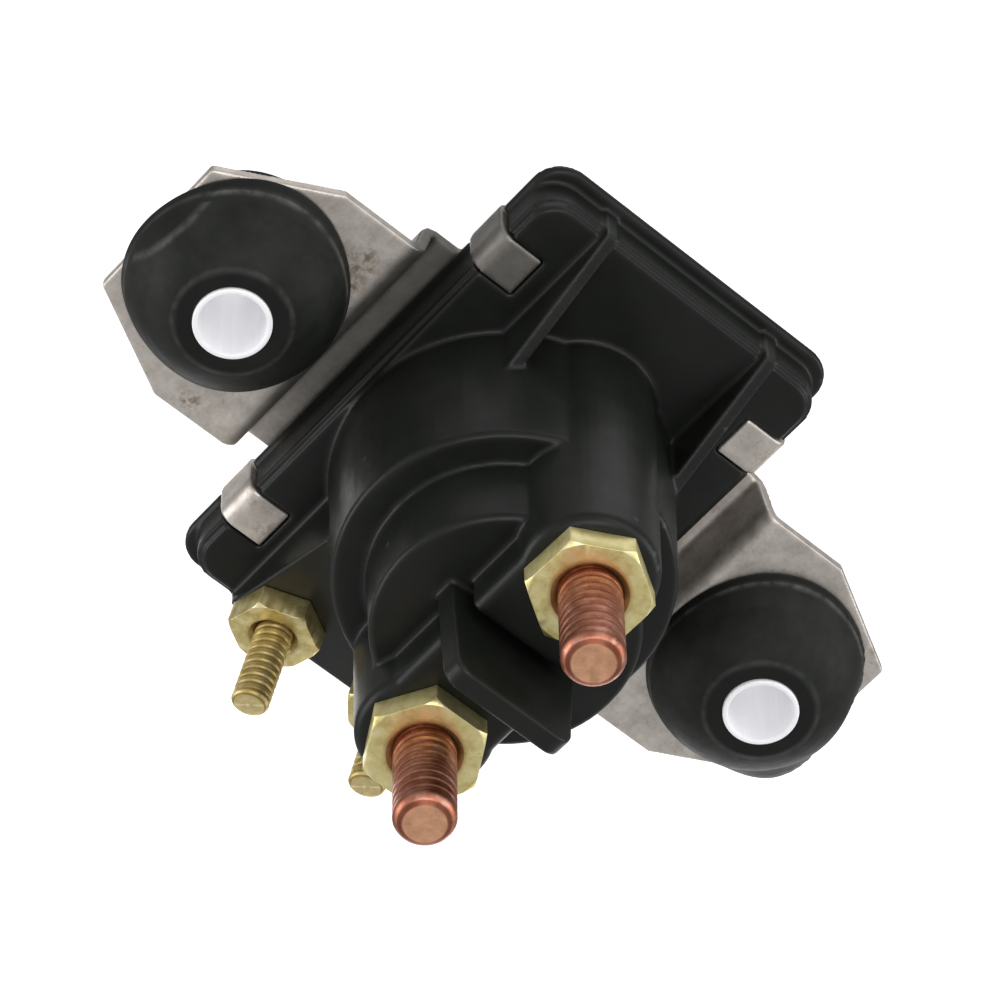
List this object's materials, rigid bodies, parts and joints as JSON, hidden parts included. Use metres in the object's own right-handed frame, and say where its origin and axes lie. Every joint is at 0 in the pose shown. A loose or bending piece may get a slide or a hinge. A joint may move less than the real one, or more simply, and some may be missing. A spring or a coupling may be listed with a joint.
{
  "type": "starter solenoid relay",
  "caption": "Moulded relay with threaded high-current studs and leaning coil studs, on a crimped steel bracket held by rubber grommets.",
  "frame": {"origin": "midway between the two mounting holes, on the surface that the mounting sleeves stand on", "axes": "+X from one mounting hole to the other, +Z from the mounting surface towards the large terminals, +Y away from the small coil terminals"},
  "size_m": [0.106, 0.0706, 0.0634],
  "materials": {
    "cap_plastic": "satin moulded near-black",
    "bracket_steel": "dull plated sheet, stained",
    "rubber": "matte charcoal",
    "sleeve_steel": "bright plated",
    "nut_brass": "pale worn brass",
    "stud_copper": "worn copper",
    "coil_stud_brass": "worn brass",
    "soft_iron": "zinc plated",
    "bobbin_nylon": "natural nylon",
    "copper_wire": "enamelled copper",
    "contact_copper": "bare copper",
    "rod_brass": "turned brass",
    "insulator": "moulded nylon",
    "washer_fibre": "pressed fibre",
    "spring_steel": "plain wire"
  },
  "bodies": {
    "relay": {"housing_cap": "cap_plastic", "mounting_bracket": "bracket_steel", "cap_gasket": "rubber", "coil_base_plate": "soft_iron", "coil_can": "soft_iron", "pole_core": "soft_iron", "coil_bobbin": "bobbin_nylon", "coil_winding": "copper_wire", "coil_lead_left": "copper_wire", "coil_lead_right": "copper_wire", "plunger_buffer": "rubber", "return_spring": "spring_steel", "battery_stud": "stud_copper", "starter_stud": "stud_copper", "battery_stud_seal": "rubber", "starter_stud_seal": "rubber", "battery_stud_nut": "nut_brass", "starter_stud_nut": "nut_brass", "coil_stud_left": "coil_stud_brass", "coil_stud_right": "coil_stud_brass", "coil_stud_nut_left": "nut_brass", "coil_stud_nut_right": "nut_brass", "grommet_left": "rubber", "grommet_right": "rubber", "sleeve_left": "sleeve_steel", "sleeve_right": "sleeve_steel"},
    "plunger_set": {"plunger": "soft_iron", "plunger_rod": "rod_brass", "rod_clip": "spring_steel", "contact_spring": "spring_steel"},
    "contact_set": {"contact_disc": "contact_copper", "disc_bush": "insulator", "disc_washer": "washer_fibre"}
  },
  "joints": [
    {"name": "plunger_travel", "type": "slide", "parent": "relay", "child": "plunger_set", "axis": [0, 0, 1], "range_m": [0, 0.003], "stiffness_N_per_m": 900, "springref_m": -0.006, "deforming": ["return_spring"]},
    {"name": "contact_travel", "type": "slide", "parent": "plunger_set", "child": "contact_set", "axis": [0, 0, 1], "range_m": [-0.0007, 0], "deforming": ["contact_spring"]}
  ],
  "couplings": [
    {"joint": "contact_travel", "follows": "plunger_travel", "ratio": -0.23}
  ]
}
